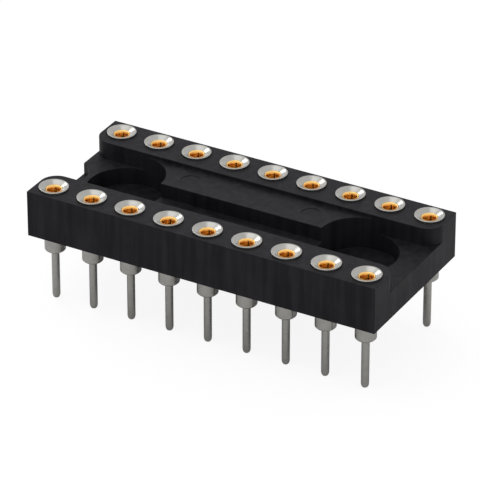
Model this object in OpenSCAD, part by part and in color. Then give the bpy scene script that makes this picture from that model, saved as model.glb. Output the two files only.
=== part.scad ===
// Dual-in-line IC socket with turned contacts.
// A moulded open-frame insulator carries two rows of turned sleeves. Each sleeve
// has a funnel mouth, a stepped blind bore and a solder tail, and a four-finger
// spring clip is seated on the step of its bore.
// Origin: middle of the contact field, on the plane of the tail tips. +Z is up,
// +X runs along the rows away from the notched end, and -Y is the side of contact 1.

/* [Contact field] */
// Contacts in each row
row_count = 9; // [7:1:14]
// Distance between neighbouring contacts in a row
pitch = 2.54; // [2.4:0.01:2.8]
// Distance between the two rows
row_spacing = 7.62; // [7.2:0.02:8.2]

/* [Insulator] */
// Height of the insulator, underside to rail top
body_h = 2.88; // [2.6:0.02:3.4]
// From the last contact's axis to the end face
end_margin = 1.12; // [1:0.02:1.4]
// From a row's axis to the outer side face
rail_outer = 1.14; // [1.02:0.02:1.4]
// From a row's axis to the rail's inner wall
rail_inner = 1.46; // [1.2:0.02:1.7]
// Drop from the rail tops to the web between the rails
web_drop = 1.13; // [0.8:0.01:1.4]
// Radius of the upright rounding at each inner rail end
rail_end_r = 1.0; // [0.5:0.05:1.3]
// Clearance between a pressed piece and its hole, on the radius
press_gap = 0.01; // [0.005:0.005:0.02]

/* [Windows and bar] */
// Diameter of the two round windows
window_d = 4.7; // [3.6:0.1:4.7]
// From an end face to the middle of its window
window_inset = 3.66; // [3.5:0.02:4]
// Width of the raised bar along the rear rail
bar_w = 2.35; // [1.4:0.05:3]
// Drop from the rail tops to the top of the bar
bar_drop = 0.23; // [0.1:0.01:0.5]
// Diameter of the two round ejector marks on the bar
mark_d = 1.2; // [0.8:0.1:1.3]
// Depth of the ejector marks
mark_depth = 0.03; // [0.02:0.01:0.08]
// Distance between the two ejector marks
mark_spacing = 7.9; // [6:0.1:8.4]

/* [Orientation notch] */
// Width of the notch in the end face
notch_w = 2.65; // [1.8:0.05:3]
// Reach of the notch into the end bar
notch_reach = 0.95; // [0.6:0.05:1]
// Depth of the notch below the web's top
notch_depth = 0.7; // [0.4:0.05:1]

/* [Sleeve outside] */
// Length of the solder tail below the shoulder
tail_len = 3.18; // [2.5:0.02:4]
// Diameter of the solder tail
tail_d = 0.47; // [0.4:0.01:0.6]
// Length of the rounded tail tip
tip_len = 0.28; // [0.15:0.01:0.4]
// Diameter of the small flat at the tail tip
tip_d = 0.18; // [0.1:0.02:0.3]
// Diameter of the barrel below the insulator
barrel_d = 1.25; // [1.2:0.01:1.32]
// Height of the shoulders below the insulator's underside
standoff = 1.19; // [0.8:0.01:1.6]
// Chamfer round the shoulder
shoulder_chamfer = 0.07; // [0.03:0.01:0.15]
// Diameter of the stretch that is pressed into the insulator
press_d = 1.34; // [1.34:0.01:1.44]
// Length of the pressed stretch below the flange
press_len = 1.7; // [1:0.05:2]
// Diameter of the flange
flange_d = 1.75; // [1.7:0.01:1.95]
// Thickness of the flange
flange_t = 0.45; // [0.35:0.01:0.6]
// Height of the flange above the rail top
rim_proud = 0.12; // [0.05:0.01:0.25]
// Chamfer round the top of the flange
rim_chamfer = 0.04; // [0.02:0.01:0.06]

/* [Sleeve inside] */
// Diameter of the funnel at the top
mouth_d = 1.56; // [1.4:0.02:1.6]
// Depth of the funnel
mouth_depth = 0.2; // [0.12:0.01:0.3]
// Diameter of the seat that holds the clip
seat_d = 0.96; // [0.94:0.01:1]
// Length of the seat, funnel to step
seat_len = 0.62; // [0.5:0.02:0.9]
// Diameter of the bore below the step
bore_d = 0.83; // [0.81:0.01:0.85]
// Depth of the bore below the rim
bore_depth = 3.7; // [3:0.05:3.8]

/* [Spring clip] */
// Thickness of the clip's wall
clip_t = 0.065; // [0.05:0.005:0.07]
// Height of the rounded lead-in at the top of the clip
lead_h = 0.2; // [0.1:0.01:0.3]
// Length of the fingers below the step
finger_len = 1.5; // [1.2:0.05:1.9]
// Opening between the fingers where they are closest
throat_d = 0.34; // [0.3:0.01:0.44]
// How far the finger tips flare out again, on the radius
tip_flare = 0.04; // [0.02:0.01:0.06]
// Width of the slots between the fingers
slot_w = 0.09; // [0.06:0.01:0.12]
// Height of the unslotted ring at the top of the clip
ring_h = 0.1; // [0.06:0.01:0.2]
// Direction of the first slot, turned from +X
slot_angle = 12; // [0:1:89]

/* [Hidden] */
$fn = 64;
slip = 1; // how far a cutting shape runs past the face that it opens
tip_steps = 6; // straight stretches in the rounded tail tip
tip_taper = 0.15; // share of the finger's length that flares at its tip
lead_share = 0.8; // share of the clip's wall that its lead-in takes
lead_steps = 5; // straight stretches in the rounded lead-in
drill_point = 59; // half angle at the bottom of the bore
hole_flare = 0.08; // widening of each contact hole at the underside

contact_count = 2 * row_count;
row_half = (row_count - 1) * pitch / 2;
row_y = row_spacing / 2;
half_l = row_half + end_margin;
half_w = row_y + rail_outer;
gap_half = row_y - rail_inner; // half the width between the rails
body_l = 2 * half_l;
body_w = 2 * half_w;

z_seat = tail_len; // the shoulders, which stand on the board
z_under = z_seat + standoff;
z_rail = z_under + body_h;
z_web = z_rail - web_drop;
z_bar = z_rail - bar_drop;
z_rim = z_rail + rim_proud;
z_flange = z_rim - flange_t;
z_funnel = z_rim - mouth_depth; // bottom of the funnel, top of the clip
z_step = z_funnel - seat_len;
z_floor = z_rim - bore_depth;
z_throat = z_step - finger_len * (1 - tip_taper);
z_tip = z_step - finger_len; // lower end of the clip's fingers

window_x = half_l - window_inset;
notch_r = (pow(notch_w / 2, 2) + pow(notch_reach, 2)) / (2 * notch_reach);
clip_r = seat_d / 2 - press_gap;
finger_r = bore_d / 2 - press_gap;
throat_r = throat_d / 2;

// Contacts count along the front row from the notched end and back along the rear row
function place(i) = i <= row_count
    ? [(i - 1) * pitch - row_half, -row_y]
    : [row_half - (i - row_count - 1) * pitch, row_y];
function numbered(name, i) = str(name, i < 10 ? "_0" : "_", i);

// ---- insulator -----------------------------------------------------------

// A rail seen from above, with its inner corners rounded at both ends
module rail_outline() {
    difference() {
        translate([-half_l, gap_half])
            square([body_l, half_w - gap_half]);
        for (side = [-1, 1])
            translate([side * (half_l - rail_end_r), gap_half + rail_end_r])
                difference() {
                    translate([side < 0 ? -rail_end_r - slip : 0, -rail_end_r - slip])
                        square([rail_end_r + slip, rail_end_r + slip]);
                    circle(rail_end_r);
                }
    }
}

module rail() {
    translate([0, 0, z_web - slip / 2])
        linear_extrude(z_rail - z_web + slip / 2)
            rail_outline();
}

// The bar that joins the rear rail in the middle, between the windows
module bar() {
    translate([-window_x, gap_half - bar_w, z_under])
        cube([2 * window_x, bar_w + rail_inner, z_bar - z_under]);
}

// The round windows stop at the rails' inner walls
module windows() {
    intersection() {
        translate([-half_l, -gap_half, z_under - slip])
            cube([body_l, 2 * gap_half, body_h + 2 * slip]);
        for (side = [-1, 1])
            translate([side * window_x, 0, z_under - slip])
                cylinder(h = body_h + 2 * slip, d = window_d);
    }
}

module notch() {
    translate([-half_l + notch_reach - notch_r, 0, z_web - notch_depth])
        cylinder(h = notch_depth + slip, r = notch_r);
}

module ejector_marks() {
    for (side = [-1, 1])
        translate([side * mark_spacing / 2, gap_half - bar_w / 2, z_bar - mark_depth])
            cylinder(h = mark_depth + slip, d = mark_d);
}

// A stepped hole: counterbore for the flange, pressed bore, flared exit
module contact_hole() {
    translate([0, 0, z_under - slip])
        cylinder(h = body_h + 2 * slip, d = press_d + 2 * press_gap);
    translate([0, 0, z_flange])
        cylinder(h = flange_t + slip, d = flange_d + 2 * press_gap);
    translate([0, 0, z_under - hole_flare])
        cylinder(
            h = 2 * hole_flare,
            d1 = press_d + 2 * press_gap + 4 * hole_flare,
            d2 = press_d + 2 * press_gap
        );
}

module insulator() {
    color([0.09, 0.09, 0.1])
        difference() {
            union() {
                translate([-half_l, -half_w, z_under])
                    cube([body_l, body_w, z_web - z_under]);
                rail();
                mirror([0, 1, 0]) rail();
                bar();
            }
            windows();
            notch();
            ejector_marks();
            for (i = [1 : contact_count])
                translate(place(i)) contact_hole();
        }
}

// ---- sleeves -------------------------------------------------------------

// Half section of a sleeve, outside from the tip up and inside back down
function sleeve_section() = concat(
    [[0, 0]],
    [for (k = [0 : tip_steps])
        let (a = 90 * k / tip_steps)
        [tip_d / 2 + (tail_d - tip_d) / 2 * sin(a), tip_len * (1 - cos(a))]],
    [
        [tail_d / 2, z_seat],
        [barrel_d / 2 - shoulder_chamfer, z_seat],
        [barrel_d / 2, z_seat + shoulder_chamfer],
        [barrel_d / 2, z_flange - press_len - (press_d - barrel_d) / 2],
        [press_d / 2, z_flange - press_len],
        [press_d / 2, z_flange],
        [flange_d / 2, z_flange],
        [flange_d / 2, z_rim - rim_chamfer],
        [flange_d / 2 - rim_chamfer, z_rim],
        [mouth_d / 2, z_rim],
        [seat_d / 2, z_funnel],
        [seat_d / 2, z_step],
        [bore_d / 2, z_step],
        [bore_d / 2, z_floor],
        [0, z_floor - bore_d / 2 / tan(drill_point)]
    ]
);

module sleeve(i) {
    color([0.75, 0.75, 0.73])
        translate(place(i))
            rotate_extrude()
                polygon(sleeve_section());
}

// ---- spring clips --------------------------------------------------------

// Half section of a clip: rounded lead-in, collar on the step, fingers that taper
// in to the throat and flare out again at their tips
function clip_section() = concat(
    [[clip_r, z_funnel]],
    [for (k = [lead_steps : -1 : 0])
        let (a = 90 * k / lead_steps)
        [
            clip_r - clip_t + lead_share * clip_t * (1 - cos(a)),
            z_funnel - lead_h * (1 - sin(a))
        ]],
    [
        [clip_r - clip_t, z_step + clip_t],
        [finger_r - clip_t, z_step],
        [throat_r, z_throat],
        [throat_r + tip_flare, z_tip],
        [throat_r + tip_flare + clip_t, z_tip],
        [throat_r + clip_t, z_throat],
        [finger_r, z_step],
        [clip_r, z_step]
    ]
);

module clip(i) {
    color([0.85, 0.62, 0.25])
        translate(place(i))
            rotate([0, 0, slot_angle])
                difference() {
                    rotate_extrude()
                        polygon(clip_section());
                    for (turn = [0, 90])
                        rotate([0, 0, turn])
                            translate([-seat_d, -slot_w / 2, z_tip - slip])
                                cube([2 * seat_d, slot_w, z_funnel - ring_h - z_tip + slip]);
                }
}

// ---- assembly ------------------------------------------------------------

insulator();
for (i = [1 : contact_count]) {
    sleeve(i);
    clip(i);
}
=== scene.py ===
"""Looks and stage for a dual-in-line IC socket with turned contacts.

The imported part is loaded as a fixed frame. The insulator keeps its solid and gets a
finish. Each turned sleeve is worked out again as one smooth surface of revolution,
with its edges broken as a lathe leaves them, and each spring clip as a smooth slotted
one with a rolled lead-in.
"""

import math

import bpy
import numpy as np
from bpy.props import FloatProperty, FloatVectorProperty, IntProperty, PointerProperty
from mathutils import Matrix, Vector


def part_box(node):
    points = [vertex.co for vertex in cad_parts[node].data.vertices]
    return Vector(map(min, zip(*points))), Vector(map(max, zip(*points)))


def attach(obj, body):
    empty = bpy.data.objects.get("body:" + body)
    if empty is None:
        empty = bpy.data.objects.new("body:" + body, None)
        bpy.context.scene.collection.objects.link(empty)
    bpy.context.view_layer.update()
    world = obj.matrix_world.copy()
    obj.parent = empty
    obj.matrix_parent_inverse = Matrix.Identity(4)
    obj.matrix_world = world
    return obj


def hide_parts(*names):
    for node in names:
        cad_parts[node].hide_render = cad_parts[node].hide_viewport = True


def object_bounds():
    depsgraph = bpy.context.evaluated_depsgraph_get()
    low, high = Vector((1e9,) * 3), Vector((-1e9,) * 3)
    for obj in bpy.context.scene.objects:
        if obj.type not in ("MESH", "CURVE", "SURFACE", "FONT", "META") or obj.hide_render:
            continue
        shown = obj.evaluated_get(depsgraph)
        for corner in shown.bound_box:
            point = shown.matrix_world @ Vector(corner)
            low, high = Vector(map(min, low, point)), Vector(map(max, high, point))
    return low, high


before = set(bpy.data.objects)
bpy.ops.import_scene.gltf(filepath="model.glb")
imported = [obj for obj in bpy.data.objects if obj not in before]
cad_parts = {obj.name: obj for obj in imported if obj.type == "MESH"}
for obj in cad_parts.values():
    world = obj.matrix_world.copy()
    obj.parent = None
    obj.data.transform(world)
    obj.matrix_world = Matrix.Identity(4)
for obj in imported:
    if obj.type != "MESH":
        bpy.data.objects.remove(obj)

bl_info = {
    "name": "Turned-contact IC socket",
    "version": (1, 0, 0),
    "blender": (4, 5, 0),
    "location": "View3D > Sidebar > IC socket",
    "description": "Finishes, turned sleeves and stage for a dual-in-line IC socket",
    "category": "Object",
}

CAD_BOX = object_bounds()
SLEEVES = sorted(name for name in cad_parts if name.startswith("sleeve_"))
CLIPS = sorted(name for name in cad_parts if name.startswith("clip_"))
MM = 0.001

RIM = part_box(SLEEVES[0])[1].z  # height of the sleeves' rims
INSULATOR_LOW, INSULATOR_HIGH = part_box("insulator")

DRILL_POINT = math.radians(59)  # half angle at the bottom of the bore
TIP_STEPS = 6  # stretches in the rounded tail tip
SLEEVE_EDGE_STEPS = 4  # stretches in each broken edge of a sleeve
CLIP_EDGE_STEPS = 2  # stretches in each rounded edge of a clip
LEAD_SHARE = 0.95  # share of the clip's wall that its lead-in takes
RING_STEPS = 5  # stretches in the lead-in above the ring's foot
LOWER_STEPS = 3  # stretches in the lead-in below the ring's foot
LONGEST_CUT = 0.45  # share of a short stretch that a rounding may take

FLOOR_HALF = 0.6  # half the floor's side
FLOOR_DROP = 0.01 * MM  # from the tail tips down to the floor
WHITE_SHARE = 0.8  # share of plain white that the camera sees on the floor
WHITE_STRENGTH = 1.1
LAMP_AIM = (0.0, 0.0, 0.005)
LAMPS = (  # name, place, side in metres, power in watts
    ("left_light", (-0.2, 0.1, 0.16), 0.07, 0.07),
    ("top_light", (-0.1, -0.05, 0.3), 0.25, 0.15),
)


def length(name, description, default):
    """A size in metres, shown in the scene's unit of length."""
    return FloatProperty(
        name=name,
        description=description,
        default=default,
        min=0.0,
        precision=6,
        unit="LENGTH",
    )


def colour(name, description, default):
    """A linear colour."""
    return FloatVectorProperty(
        name=name,
        description=description,
        default=default,
        size=3,
        min=0.0,
        max=1.0,
        subtype="COLOR",
    )


def factor(name, description, default, top=1.0):
    """A plain number from 0 up."""
    return FloatProperty(
        name=name,
        description=description,
        default=default,
        min=0.0,
        max=top,
        subtype="FACTOR",
    )


def angle(name, description, degrees):
    """An angle, given in degrees and kept in radians."""
    return FloatProperty(
        name=name,
        description=description,
        default=math.radians(degrees),
        subtype="ANGLE",
    )


class SleeveSizes(bpy.types.PropertyGroup):
    """Sizes of one turned sleeve. Its flange, rim and tip come from the frame."""

    tail: length("Tail radius", "Radius of the solder tail", 0.235 * MM)
    tip: length("Tip radius", "Radius of the flat at the tail tip", 0.09 * MM)
    tip_rise: length("Tip length", "Length of the rounded tail tip", 0.28 * MM)
    shoulder: length("Shoulder height", "Height of the shoulder", 3.18 * MM)
    chamfer: length("Shoulder chamfer", "Chamfer round the shoulder", 0.1 * MM)
    barrel: length("Barrel radius", "Radius of the barrel", 0.625 * MM)
    press: length("Press radius", "Radius of the pressed stretch", 0.67 * MM)
    press_low: length("Press foot", "Rim to the foot of the pressed stretch", 2.15 * MM)
    flange: length("Flange thickness", "Thickness of the flange", 0.45 * MM)
    mouth: length("Mouth radius", "Radius of the funnel at the top", 0.8 * MM)
    funnel: length("Funnel depth", "Depth of the funnel", 0.16 * MM)
    seat: length("Seat radius", "Radius of the seat that holds the clip", 0.48 * MM)
    step: length("Step depth", "Rim to the step in the bore", 0.82 * MM)
    bore: length("Bore radius", "Radius of the bore below the step", 0.415 * MM)
    floor: length("Bore depth", "Rim to the bottom of the bore", 3.7 * MM)
    edge: length("Edge radius", "Rounding that breaks each turned edge", 0.03 * MM)
    sides: IntProperty(
        name="Sides",
        description="Steps round the sleeve",
        default=96,
        min=12,
        max=128,
    )


class PocketSizes(bpy.types.PropertyGroup):
    """Sizes of the plastic floors set at the foot of the two round windows, which keep the
    windows dark.
    """

    radius: length("Radius", "Radius of each floor, a hair over its window's", 2.355 * MM)
    inset: length("Inset", "From the end face to the middle of the window", 3.66 * MM)
    thickness: length("Thickness", "Thickness of each floor", 0.7 * MM)
    recess: length("Recess", "Height of the floor over the underside", 0.002 * MM)
    sides: IntProperty(
        name="Sides",
        description="Steps round each floor",
        default=96,
        min=12,
        max=256,
    )


class ClipSizes(bpy.types.PropertyGroup):
    """Sizes of one spring clip. Its outer radius and its tips come from the frame."""

    wall: length("Wall", "Thickness of the clip's wall", 0.12 * MM)
    lead: length("Lead-in", "Height of the rolled lead-in at the top", 0.3 * MM)
    ring: length("Ring", "Height of the unslotted ring at the top", 0.1 * MM)
    slot: length("Slot", "Width of the slots between the fingers", 0.09 * MM)
    gap: length("Gap", "Clearance between the fingers and the bore", 0.01 * MM)
    throat: length("Throat radius", "Radius where the fingers are closest", 0.17 * MM)
    flare: length("Tip flare", "How far the tips flare out again", 0.04 * MM)
    flare_rise: length("Flare height", "Height of the flare at the tips", 0.225 * MM)
    edge: length("Edge radius", "Rounding of the clip's edges", 0.015 * MM)
    turn: angle("Turn", "Direction of the first slot", 12.0)
    steps: IntProperty(
        name="Steps",
        description="Steps round each finger",
        default=16,
        min=4,
        max=40,
    )


class Finishes(bpy.types.PropertyGroup):
    """Colours and surface values of the three materials."""

    plastic: colour("Plastic", "Colour of the insulator", (0.0152, 0.0147, 0.0178))
    plastic_rough: factor("Plastic roughness", "Roughness of the plastic", 0.46)
    plastic_shine: factor("Plastic shine", "Share of light the plastic mirrors", 0.08)
    tin: colour("Tin", "Colour of the plated sleeves", (0.385, 0.379, 0.358))
    tin_rough: factor("Tin roughness", "Roughness of the plated sleeves", 0.24)
    gold: colour("Gold", "Colour of the plated clips", (0.93, 0.58, 0.2))
    gold_rough: factor("Gold roughness", "Roughness of the plated clips", 0.3)
    softness: length("Edge softness", "Rounding seen on moulded edges", 0.04 * MM)


class StageSizes(bpy.types.PropertyGroup):
    """Camera and light of the stage."""

    turn: angle("Turn", "Camera's turn round the part, from the front", 29.34)
    rise: angle("Rise", "Camera's height over the horizon", 29.79)
    distance: length("Distance", "Camera to the point it looks at", 229.5 * MM)
    lens: FloatProperty(
        name="Lens",
        description="Focal length on a 36 mm sensor",
        default=306.8,
        min=1.0,
        unit="CAMERA",
    )
    aim: FloatVectorProperty(
        name="Aim",
        description="Point that the camera looks at",
        default=(2.22 * MM, -4.01 * MM, 7.37 * MM),
        size=3,
        precision=6,
        subtype="XYZ",
        unit="LENGTH",
    )
    floor: factor("Floor", "Brightness of the floor's own colour", 0.9)
    room: factor("Room light", "Strength of the light from all round", 0.65, 5.0)


# ---- shader helpers ----------------------------------------------------------


def new_material(name):
    """An empty node material and its tree."""
    material = bpy.data.materials.new(name)
    material.use_nodes = True
    material.node_tree.nodes.clear()
    return material, material.node_tree


def add(tree, kind, inputs=None, **settings):
    """A node with its settings and the values or links of its inputs."""
    node = tree.nodes.new(kind)
    for key, value in settings.items():
        setattr(node, key, value)
    for key, value in (inputs or {}).items():
        if isinstance(value, bpy.types.NodeSocket):
            tree.links.new(value, node.inputs[key])
        else:
            node.inputs[key].default_value = value
    return node


def group_tree(name, inputs, outputs):
    """A shader node group with named sockets: its tree, its input and its output node."""
    tree = bpy.data.node_groups.new(name, "ShaderNodeTree")
    for label, kind, default in inputs:
        socket = tree.interface.new_socket(label, in_out="INPUT", socket_type=kind)
        if default is not None:
            socket.default_value = default
    for label, kind in outputs:
        tree.interface.new_socket(label, in_out="OUTPUT", socket_type=kind)
    return tree, tree.nodes.new("NodeGroupInput"), tree.nodes.new("NodeGroupOutput")


def ranged(tree, value, low, high, to_low, to_high):
    """Value carried from one range to another, clamped."""
    return add(
        tree,
        "ShaderNodeMapRange",
        {
            "Value": value,
            "From Min": low,
            "From Max": high,
            "To Min": to_low,
            "To Max": to_high,
        },
    ).outputs["Result"]


def moulded_skin():
    """Skin of a moulding: drawn streaks, cloudy patches and a fine grain.

    Each is fractal noise of the given position, squeezed along Z for the streaks
    that the tool leaves as the part is pushed out.
    """
    tree, given, out = group_tree(
        "Moulded skin",
        [
            ("Position", "NodeSocketVector", None),
            ("Streak Scale", "NodeSocketFloat", 2200.0),
            ("Cloud Scale", "NodeSocketFloat", 420.0),
            ("Grain Scale", "NodeSocketFloat", 9000.0),
        ],
        [
            ("Tone", "NodeSocketFloat"),
            ("Clouds", "NodeSocketFloat"),
            ("Height", "NodeSocketFloat"),
        ],
    )
    drawn = add(
        tree,
        "ShaderNodeVectorMath",
        {0: given.outputs["Position"], 1: (1.0, 1.0, 0.06)},
        operation="MULTIPLY",
    ).outputs["Vector"]
    streaks = add(
        tree,
        "ShaderNodeTexNoise",
        {"Vector": drawn, "Scale": given.outputs["Streak Scale"], "Detail": 3.0},
    ).outputs["Fac"]
    clouds = add(
        tree,
        "ShaderNodeTexNoise",
        {
            "Vector": given.outputs["Position"],
            "Scale": given.outputs["Cloud Scale"],
            "Detail": 5.0,
            "Roughness": 0.6,
        },
    ).outputs["Fac"]
    grain = add(
        tree,
        "ShaderNodeTexNoise",
        {
            "Vector": given.outputs["Position"],
            "Scale": given.outputs["Grain Scale"],
            "Detail": 4.0,
        },
    ).outputs["Fac"]
    height = add(
        tree,
        "ShaderNodeMath",
        {0: streaks, 1: 0.45, 2: grain},
        operation="MULTIPLY_ADD",
    ).outputs["Value"]
    tone = add(
        tree, "ShaderNodeMix", {0: 0.4, 2: streaks, 3: clouds}, data_type="FLOAT"
    ).outputs[0]
    tree.links.new(tone, out.inputs["Tone"])
    tree.links.new(clouds, out.inputs["Clouds"])
    tree.links.new(height, out.inputs["Height"])
    return tree


def turned_skin():
    """Skin of a turned and plated piece: rings that follow the tool, and a bloom.

    The rings are noise that changes fast along the axis and slowly round it. The
    bloom is soft noise in all directions, as plating clouds a polished face.
    """
    tree, given, out = group_tree(
        "Turned skin",
        [
            ("Position", "NodeSocketVector", None),
            ("Track", "NodeSocketVector", None),
            ("Ring Scale", "NodeSocketFloat", 30.0),
            ("Bloom Scale", "NodeSocketFloat", 2500.0),
        ],
        [("Rings", "NodeSocketFloat"), ("Bloom", "NodeSocketFloat")],
    )
    track = add(
        tree,
        "ShaderNodeVectorMath",
        {0: given.outputs["Track"], 1: (0.04, 1.0, 1.0)},
        operation="MULTIPLY",
    ).outputs["Vector"]
    rings = add(
        tree,
        "ShaderNodeTexNoise",
        {"Vector": track, "Scale": given.outputs["Ring Scale"], "Detail": 3.0},
    ).outputs["Fac"]
    bloom = add(
        tree,
        "ShaderNodeTexNoise",
        {
            "Vector": given.outputs["Position"],
            "Scale": given.outputs["Bloom Scale"],
            "Detail": 3.0,
        },
    ).outputs["Fac"]
    tree.links.new(rings, out.inputs["Rings"])
    tree.links.new(bloom, out.inputs["Bloom"])
    return tree


def grouped(tree, name, build, inputs):
    """The named group placed in a material, built the first time that it is asked for."""
    group = bpy.data.node_groups.get(name) or build()
    return add(tree, "ShaderNodeGroup", inputs, node_tree=group)


def mixed(tree, fac, first, second):
    """One colour shading into another."""
    node = add(tree, "ShaderNodeMix", {"Factor": fac}, data_type="RGBA")
    node.inputs[6].default_value = (*first, 1.0)
    node.inputs[7].default_value = (*second, 1.0)
    return node.outputs[2]


def scaled(colour_value, amount):
    """A colour made lighter or darker by a factor."""
    return tuple(min(1.0, c * amount) for c in colour_value)


# ---- materials ---------------------------------------------------------------


def plastic_material(looks):
    """Black glass-filled plastic with a slight violet cast."""
    material, tree = new_material("Insulator plastic")
    place = add(tree, "ShaderNodeTexCoord").outputs["Object"]
    skin = grouped(tree, "Moulded skin", moulded_skin, {"Position": place})
    tint = mixed(
        tree,
        ranged(tree, skin.outputs["Tone"], 0.4, 0.6, 0.0, 1.0),
        scaled(looks.plastic, 0.7),
        scaled(looks.plastic, 1.3),
    )
    rough = ranged(
        tree,
        skin.outputs["Clouds"],
        0.35,
        0.65,
        looks.plastic_rough - 0.07,
        looks.plastic_rough + 0.07,
    )
    soft = add(
        tree, "ShaderNodeBevel", {"Radius": looks.softness}, samples=6
    ).outputs["Normal"]
    relief = add(
        tree,
        "ShaderNodeBump",
        {
            "Height": skin.outputs["Height"],
            "Strength": 0.35,
            "Distance": 0.02 * MM,
            "Normal": soft,
        },
    ).outputs["Normal"]
    surface = add(
        tree,
        "ShaderNodeBsdfPrincipled",
        {"Base Color": tint, "Roughness": rough, "Normal": relief},
    )
    surface.inputs["Specular IOR Level"].default_value = looks.plastic_shine
    out = add(tree, "ShaderNodeOutputMaterial")
    tree.links.new(surface.outputs["BSDF"], out.inputs["Surface"])
    return material


def metal_material(name, tone, roughness, relief_share):
    """Plated metal whose rings follow the turning, in the piece's own map."""
    material, tree = new_material(name)
    coords = add(tree, "ShaderNodeTexCoord")
    skin = grouped(
        tree,
        "Turned skin",
        turned_skin,
        {"Position": coords.outputs["Object"], "Track": coords.outputs["UV"]},
    )
    tint = mixed(
        tree,
        ranged(tree, skin.outputs["Bloom"], 0.3, 0.7, 0.0, 1.0),
        scaled(tone, 0.93),
        scaled(tone, 1.06),
    )
    rough = ranged(
        tree, skin.outputs["Bloom"], 0.3, 0.7, roughness - 0.04, roughness + 0.05
    )
    relief = add(
        tree,
        "ShaderNodeBump",
        {"Height": skin.outputs["Rings"], "Strength": relief_share, "Distance": 0.01 * MM},
    ).outputs["Normal"]
    surface = add(
        tree,
        "ShaderNodeBsdfPrincipled",
        {"Base Color": tint, "Roughness": rough, "Normal": relief, "Metallic": 1.0},
    )
    out = add(tree, "ShaderNodeOutputMaterial")
    tree.links.new(surface.outputs["BSDF"], out.inputs["Surface"])
    return material


def floor_material(stage):
    """Pale floor that keeps the part's shadow and stays white round it.

    Camera rays from above see a blend of the lit floor and plain white. From below
    the floor is clear, so that the underside can be looked at.
    """
    material, tree = new_material("Floor")
    ways = add(tree, "ShaderNodeLightPath")
    side = add(tree, "ShaderNodeNewGeometry").outputs["Backfacing"]
    lit = add(
        tree,
        "ShaderNodeBsdfDiffuse",
        {"Color": (stage.floor, stage.floor, stage.floor, 1.0)},
    ).outputs["BSDF"]
    white = add(
        tree, "ShaderNodeEmission", {"Color": (1, 1, 1, 1), "Strength": WHITE_STRENGTH}
    ).outputs["Emission"]
    share = add(
        tree,
        "ShaderNodeMath",
        {0: ways.outputs["Is Camera Ray"], 1: WHITE_SHARE},
        operation="MULTIPLY",
    ).outputs["Value"]
    seen = add(tree, "ShaderNodeMixShader", {0: share, 1: lit, 2: white})
    clear = add(tree, "ShaderNodeBsdfTransparent").outputs["BSDF"]
    under = add(
        tree, "ShaderNodeMixShader", {0: side, 1: seen.outputs["Shader"], 2: clear}
    )
    out = add(tree, "ShaderNodeOutputMaterial")
    tree.links.new(under.outputs["Shader"], out.inputs["Surface"])
    return material


# ---- surfaces ----------------------------------------------------------------


def rounded_profile(corners, radius, steps):
    """A profile of straight stretches whose corners are rounded.

    Each corner C between its neighbours is replaced by the curve
    (1-s)^2 A + 2s(1-s) C + s^2 B, where A and B lie on the two stretches at the
    given distance from C, or nearer on a short stretch. Returns the points and the
    outward normals in the (r, z) plane: the tangent turned by a quarter.
    """
    corners = np.asarray(corners, float)
    before, at, after = corners[:-2], corners[1:-1], corners[2:]
    back, ahead = before - at, after - at
    reach_back = np.linalg.norm(back, axis=1, keepdims=True)
    reach_ahead = np.linalg.norm(ahead, axis=1, keepdims=True)
    cut = np.minimum(radius, LONGEST_CUT * np.minimum(reach_back, reach_ahead))
    start = at + back / reach_back * cut
    end = at + ahead / reach_ahead * cut
    s = np.linspace(0.0, 1.0, steps + 1)[None, :, None]
    first, corner, last = start[:, None], at[:, None], end[:, None]
    curve = (1 - s) ** 2 * first + 2 * s * (1 - s) * corner + s**2 * last
    slope = 2 * (1 - s) * (corner - first) + 2 * s * (last - corner)
    points = np.vstack([corners[:1], curve.reshape(-1, 2), corners[-1:]])
    lead_in, lead_out = corners[1:2] - corners[:1], corners[-1:] - corners[-2:-1]
    tangent = np.vstack([lead_in, slope.reshape(-1, 2), lead_out])
    tangent /= np.linalg.norm(tangent, axis=1, keepdims=True)
    return points, np.stack([tangent[:, 1], -tangent[:, 0]], axis=1)


def put_in_mesh(name, points, loops, sizes, normals, uv):
    """A smooth mesh from its points, its faces and the normal and map of each face corner."""
    mesh = bpy.data.meshes.new(name)
    mesh.vertices.add(len(points))
    mesh.vertices.foreach_set("co", points.astype(np.float32).ravel())
    mesh.loops.add(len(loops))
    mesh.loops.foreach_set("vertex_index", loops.astype(np.int32))
    mesh.polygons.add(len(sizes))
    mesh.polygons.foreach_set("loop_start", (np.cumsum(sizes) - sizes).astype(np.int32))
    mesh.polygons.foreach_set("use_smooth", np.ones(len(sizes), bool))
    mesh.update(calc_edges=True)
    layer = mesh.uv_layers.new(name="UVMap")
    layer.data.foreach_set("uv", uv.astype(np.float32).ravel())
    mesh.normals_split_custom_set(normals)
    return mesh


def corner_numbers(faces, which):
    """Station (0) or turn (1) of every face corner, face by face."""
    return np.concatenate(
        [np.stack([corner[which].ravel() for corner in face], 1).ravel() for face in faces]
    )


def lengths_along(profile):
    """Length along a profile to each of its points, in millimetres."""
    steps = np.linalg.norm(np.diff(profile, axis=0), axis=1)
    return np.concatenate([[0.0], np.cumsum(steps)]) / MM


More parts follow.
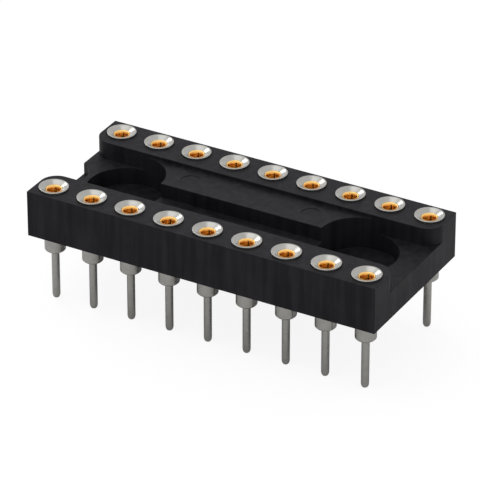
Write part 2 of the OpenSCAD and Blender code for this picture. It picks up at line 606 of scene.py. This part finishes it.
def revolved(name, profile, slopes, centre, sides):
    """A closed surface of revolution about an upright axis, with a pole at each end.

    The point at station s and angle t is (x + r(s) cos t, y + r(s) sin t, z(s)), and
    its normal is the profile's, turned the same way. The map's first coordinate is
    t in turns and its second the length along the profile in millimetres.
    """
    stations = len(profile)
    t = np.arange(sides) / sides * 2 * np.pi
    r, z = profile[1:-1, 0][:, None], profile[1:-1, 1][:, None]
    nr, nz = slopes[1:-1, 0][:, None], slopes[1:-1, 1][:, None]
    round_x, round_y = np.cos(t)[None, :], np.sin(t)[None, :]
    flat = 0 * round_x
    grid = np.stack([centre.x + r * round_x, centre.y + r * round_y, z + flat], axis=2)
    facing = np.stack([nr * round_x, nr * round_y, nz + flat], axis=2)
    poles = np.array([[centre.x, centre.y, profile[end, 1]] for end in (0, -1)])
    points = np.vstack([poles[:1], grid.reshape(-1, 3), poles[1:]])
    ends = np.array([[0.0, 0.0, -1.0], [0.0, 0.0, 1.0]])
    normals = np.vstack([ends[:1], facing.reshape(-1, 3), ends[1:]])

    side = np.arange(sides)
    station, turn = np.meshgrid(np.arange(1, stations - 2), side, indexing="ij")
    quads = [
        (station, turn),
        (station, turn + 1),
        (station + 1, turn + 1),
        (station + 1, turn),
    ]
    near, far = 0 * side, 0 * side + stations - 2
    first = [(near, side), (near + 1, side + 1), (near + 1, side)]
    last = [(far, side), (far, side + 1), (far + 1, side)]
    at = corner_numbers((first, quads, last), 0)
    to = corner_numbers((first, quads, last), 1)
    loops = 1 + (at - 1) * sides + to % sides
    loops = np.where(at == 0, 0, np.where(at == stations - 1, len(points) - 1, loops))
    sizes = np.concatenate([np.full(sides, 3), np.full(station.size, 4), np.full(sides, 3)])
    uv = np.stack([to / sides, lengths_along(profile)[at]], axis=1)
    return put_in_mesh(name, points, loops, sizes, normals[loops], uv)


def slotted(name, profile, slopes, split, centre, clip):
    """A closed section swept round an upright axis and cut into four fingers.

    The section starts on the outside at the ring's foot, runs up and over the
    lead-in, passes the ring's foot on the inside at point number split and returns
    round the finger. A slot has parallel sides, so at radius r it takes the angle
    2 asin(w / 2r), and the fingers between the slots take what is left of a
    quarter turn. Over a slot only the ring goes on, closed from below, and each
    finger is closed by a flat side.
    """
    r, z = profile[:-1].T
    count = len(r)
    half = np.arcsin(clip.slot / 2 / r)
    share = np.linspace(0.0, 1.0, clip.steps + 1)[:, None]
    finger = half + share * (np.pi / 2 - 2 * half)
    turns = clip.turn + np.concatenate([finger + q * np.pi / 2 for q in range(4)])
    columns = len(turns)
    round_x, round_y, flat = np.cos(turns), np.sin(turns), 0 * turns
    grid = np.stack([centre.x + r * round_x, centre.y + r * round_y, z + flat], axis=2)
    nr, nz = slopes[:-1].T
    facing = np.stack([nr * round_x, nr * round_y, nz + flat], axis=2)

    every = np.arange(columns)
    gaps = every[every % (clip.steps + 1) == clip.steps]
    solid = np.setdiff1d(every, gaps)
    ring = np.meshgrid(every, np.arange(split), indexing="ij")
    body = np.meshgrid(solid, np.arange(split, count), indexing="ij")
    c, j = np.concatenate([np.reshape(ring, (2, -1)), np.reshape(body, (2, -1))], axis=1)
    quad_c = np.stack([c, c + 1, c + 1, c], 1)
    quad_j = np.stack([j, j, j + 1, j + 1], 1)
    foot_c = np.stack([gaps, gaps + 1, gaps + 1, gaps], 1)
    foot_j = np.tile([split, split, count, count], (len(gaps), 1))
    around = np.arange(split, count + 1)
    wall_c = np.repeat(np.stack([gaps, gaps + 1], 1).ravel(), len(around))
    wall_j = np.tile(np.concatenate([around[::-1], around]), len(gaps))

    at_c = np.concatenate([quad_c.ravel(), foot_c.ravel(), wall_c])
    at_j = np.concatenate([quad_j.ravel(), foot_j.ravel(), wall_j])
    loops = at_c % columns * count + at_j % count
    sizes = np.concatenate(
        [np.full(len(c) + len(gaps), 4), np.full(2 * len(gaps), len(around))]
    )
    middle = clip.turn + (np.arange(len(gaps)) + 1) * np.pi / 2
    across = np.stack([-np.sin(middle), np.cos(middle), 0 * middle], axis=1)
    sides = np.stack([across, -across], axis=1).reshape(-1, 3)
    normals = np.concatenate(
        [
            facing.reshape(-1, 3)[loops[: quad_c.size]],
            np.tile([0.0, 0.0, -1.0], (foot_c.size, 1)),
            np.repeat(sides, len(around), axis=0),
        ]
    )
    turned = turns[at_c % columns, at_j % count] / (2 * np.pi) + at_c // columns
    uv = np.stack([turned, lengths_along(profile)[at_j]], axis=1)
    return put_in_mesh(name, grid.reshape(-1, 3), loops, sizes, normals, uv)


def sleeve_corners(sizes, low, high):
    """Corners of a sleeve's half section, from the tip up the outside and back down the bore."""
    flange = (high.x - low.x) / 2
    a = np.linspace(0.0, np.pi / 2, TIP_STEPS + 1)
    tip = np.stack(
        [
            sizes.tip + (sizes.tail - sizes.tip) * np.sin(a),
            low.z + sizes.tip_rise * (1 - np.cos(a)),
        ],
        axis=1,
    )
    point = sizes.bore / math.tan(DRILL_POINT)
    rest = np.array(
        [
            [sizes.tail, sizes.shoulder],
            [sizes.barrel - sizes.chamfer, sizes.shoulder],
            [sizes.barrel, sizes.shoulder + sizes.chamfer],
            [sizes.barrel, high.z - sizes.press_low - (sizes.press - sizes.barrel)],
            [sizes.press, high.z - sizes.press_low],
            [sizes.press, high.z - sizes.flange],
            [flange, high.z - sizes.flange],
            [flange, high.z],
            [sizes.mouth, high.z],
            [sizes.seat, high.z - sizes.funnel],
            [sizes.seat, high.z - sizes.step],
            [sizes.bore, high.z - sizes.step],
            [sizes.bore, high.z - sizes.floor],
            [0.0, high.z - sizes.floor - point],
        ]
    )
    return np.vstack([[0.0, low.z], tip, rest])


def clip_corners(clip, sleeve, low, high):
    """Corners of a clip's closed section, and the number of the ring's inner foot."""
    outer = (high.x - low.x) / 2
    inner = outer - clip.wall
    finger = sleeve.bore - clip.gap
    top, step = RIM - sleeve.funnel, RIM - sleeve.step
    foot = top - clip.ring
    foot_angle = math.asin(1 - clip.ring / clip.lead)
    upper = np.linspace(np.pi / 2, foot_angle, RING_STEPS + 1)
    a = np.concatenate([upper, np.linspace(foot_angle, 0.0, LOWER_STEPS + 1)[1:]])
    lead = np.stack(
        [
            inner + LEAD_SHARE * clip.wall * (1 - np.cos(a)),
            top - clip.lead * (1 - np.sin(a)),
        ],
        axis=1,
    )
    tip = np.array(
        [
            [inner, step + clip.wall],
            [finger - clip.wall, step],
            [clip.throat, low.z + clip.flare_rise],
            [clip.throat + clip.flare, low.z],
            [clip.throat + clip.flare + clip.wall, low.z],
            [clip.throat + clip.wall, low.z + clip.flare_rise],
            [finger, step],
            [outer, step],
            [outer, foot],
        ]
    )
    outside = [[outer, foot], [outer, top]]
    return np.vstack([outside, lead, tip]), len(outside) + RING_STEPS


# ---- operators ---------------------------------------------------------------


def wear(piece, material):
    """Gives every slot of a piece one material."""
    if not piece.data.materials:
        piece.data.materials.append(material)
    for slot in piece.material_slots:
        slot.material = material


def linked(name, mesh, material):
    """An object in the scene that wears one material."""
    piece = bpy.data.objects.new(name, mesh)
    bpy.context.scene.collection.objects.link(piece)
    wear(piece, material)
    return piece


class SOCKET_OT_insulator(bpy.types.Operator):
    """Give the insulator its moulded plastic and set a plastic floor at the foot of each round
    window
    """

    bl_idname = "socket.insulator"
    bl_label = "Insulator"

    def execute(self, context):
        sizes = context.scene.socket_pocket
        plastic = plastic_material(context.scene.socket_looks)
        wear(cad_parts["insulator"], plastic)
        low = INSULATOR_LOW.z + sizes.recess
        top = INSULATOR_LOW.z + sizes.thickness
        corners = [[0.0, low], [sizes.radius, low], [sizes.radius, top], [0.0, top]]
        profile, slopes = rounded_profile(corners, sizes.recess, 1)
        middle = (INSULATOR_LOW + INSULATOR_HIGH) / 2
        reach = (INSULATOR_HIGH.x - INSULATOR_LOW.x) / 2 - sizes.inset
        # each floor blocks the view through its window down to the floor below, so the window
        # shows dark
        for name, side in (("pocket_floor_left", -1), ("pocket_floor_right", 1)):
            centre = middle + Vector((side * reach, 0.0, 0.0))
            mesh = revolved(name, profile, slopes, centre, sizes.sides)
            piece = linked(name, mesh, plastic)
            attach(piece, "root")
        return {"FINISHED"}


class SOCKET_OT_sleeves(bpy.types.Operator):
    """Turn a smooth sleeve for each contact and plate it with tin"""

    bl_idname = "socket.sleeves"
    bl_label = "Turned sleeves"

    def execute(self, context):
        sizes = context.scene.socket_sleeve
        looks = context.scene.socket_looks
        tin = metal_material("Sleeve tin", looks.tin, looks.tin_rough, 0.1)
        for node in SLEEVES:
            low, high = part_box(node)
            centre = (low + high) / 2
            corners = sleeve_corners(sizes, low, high)
            profile, slopes = rounded_profile(corners, sizes.edge, SLEEVE_EDGE_STEPS)
            name = node.replace("sleeve", "turned_sleeve")
            mesh = revolved(name, profile, slopes, centre, sizes.sides)
            piece = linked(name, mesh, tin)
            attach(piece, "root")
            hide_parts(node)
        return {"FINISHED"}


class SOCKET_OT_clips(bpy.types.Operator):
    """Roll a smooth four-finger spring clip for each sleeve and plate it with gold"""

    bl_idname = "socket.clips"
    bl_label = "Spring clips"

    def execute(self, context):
        clip = context.scene.socket_clip
        sleeve = context.scene.socket_sleeve
        looks = context.scene.socket_looks
        gold = metal_material("Clip gold", looks.gold, looks.gold_rough, 0.02)
        for node in CLIPS:
            low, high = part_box(node)
            corners, split = clip_corners(clip, sleeve, low, high)
            profile, slopes = rounded_profile(corners, clip.edge, CLIP_EDGE_STEPS)
            name = node.replace("clip", "spring_clip")
            foot = split * (CLIP_EDGE_STEPS + 1)
            mesh = slotted(name, profile, slopes, foot, (low + high) / 2, clip)
            piece = linked(name, mesh, gold)
            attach(piece, "root")
            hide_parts(node)
        return {"FINISHED"}


def softbox(name, place, side, power):
    """A square area lamp that faces the part and that the camera doesn't see."""
    data = bpy.data.lights.new(name, "AREA")
    data.shape = "RECTANGLE"
    data.size = side
    data.size_y = side
    data.energy = power
    lamp = bpy.data.objects.new(name, data)
    lamp.location = place
    lamp.visible_camera = False
    facing = Vector(LAMP_AIM) - Vector(place)
    lamp.rotation_euler = facing.to_track_quat("-Z", "Y").to_euler()
    bpy.context.scene.collection.objects.link(lamp)


class SOCKET_OT_stage(bpy.types.Operator):
    """Set the floor, the soft light and the camera"""

    bl_idname = "socket.stage"
    bl_label = "Stage"

    def execute(self, context):
        stage = context.scene.socket_stage
        scene = context.scene
        half = FLOOR_HALF
        low = CAD_BOX[0][2] - FLOOR_DROP
        mesh = bpy.data.meshes.new("floor")
        corners = [(-half, -half), (half, -half), (half, half), (-half, half)]
        mesh.from_pydata([(*corner, low) for corner in corners], [], [(0, 1, 2, 3)])
        floor = linked("floor", mesh, floor_material(stage))

        world = bpy.data.worlds.new("Room")
        world.use_nodes = True
        tree = world.node_tree
        tree.nodes.clear()
        ways = add(tree, "ShaderNodeLightPath")
        seen = add(
            tree,
            "ShaderNodeMath",
            {0: ways.outputs["Is Camera Ray"], 1: ways.outputs["Is Glossy Ray"]},
            operation="MAXIMUM",
        ).outputs["Value"]
        seen = add(
            tree,
            "ShaderNodeMath",
            {0: seen, 1: ways.outputs["Is Transmission Ray"]},
            operation="MAXIMUM",
        ).outputs["Value"]
        strength = ranged(tree, seen, 0.0, 1.0, stage.room, 1.0)
        room = add(tree, "ShaderNodeBackground", {"Color": (1, 1, 1, 1), "Strength": strength})
        out = add(tree, "ShaderNodeOutputWorld")
        tree.links.new(room.outputs["Background"], out.inputs["Surface"])
        scene.world = world

        for name, place, side, power in LAMPS:
            softbox(name, place, side, power)

        aim = Vector(stage.aim)
        back = Vector(
            (
                math.sin(stage.turn) * math.cos(stage.rise),
                -math.cos(stage.turn) * math.cos(stage.rise),
                math.sin(stage.rise),
            )
        )
        data = bpy.data.cameras.new("camera")
        data.sensor_width = 36.0
        data.lens = stage.lens
        data.clip_start = 0.01
        data.clip_end = 10.0
        camera = bpy.data.objects.new("camera", data)
        camera.location = aim + back * stage.distance
        camera.rotation_euler = (-back).to_track_quat("-Z", "Y").to_euler()
        scene.collection.objects.link(camera)
        scene.camera = camera
        scene.view_settings.view_transform = "Standard"
        return {"FINISHED"}


class SOCKET_PT_panel(bpy.types.Panel):
    """Lists the steps that dress the socket"""

    bl_idname = "SOCKET_PT_panel"
    bl_label = "IC socket"
    bl_space_type = "VIEW_3D"
    bl_region_type = "UI"
    bl_category = "IC socket"

    def draw(self, context):
        column = self.layout.column()
        for step in STEPS:
            column.operator(step.bl_idname)
        for settings in SETTINGS:
            group = getattr(context.scene, settings)
            for key in group.__annotations__:
                column.prop(group, key)


SETTINGS = {
    "socket_sleeve": SleeveSizes,
    "socket_pocket": PocketSizes,
    "socket_clip": ClipSizes,
    "socket_looks": Finishes,
    "socket_stage": StageSizes,
}
STEPS = (SOCKET_OT_insulator, SOCKET_OT_sleeves, SOCKET_OT_clips, SOCKET_OT_stage)
CLASSES = (*SETTINGS.values(), *STEPS, SOCKET_PT_panel)


def register():
    """Registers the classes and gives the scene their settings."""
    for cls in CLASSES:
        bpy.utils.register_class(cls)
    for name, group in SETTINGS.items():
        setattr(bpy.types.Scene, name, PointerProperty(type=group))


def unregister():
    """Takes the settings and the classes away again."""
    for name in SETTINGS:
        delattr(bpy.types.Scene, name)
    for cls in reversed(CLASSES):
        bpy.utils.unregister_class(cls)


def main():
    """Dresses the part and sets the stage."""
    register()
    bpy.ops.socket.insulator()
    bpy.ops.socket.sleeves()
    bpy.ops.socket.clips()
    bpy.ops.socket.stage()


if __name__ == "__main__":
    main()
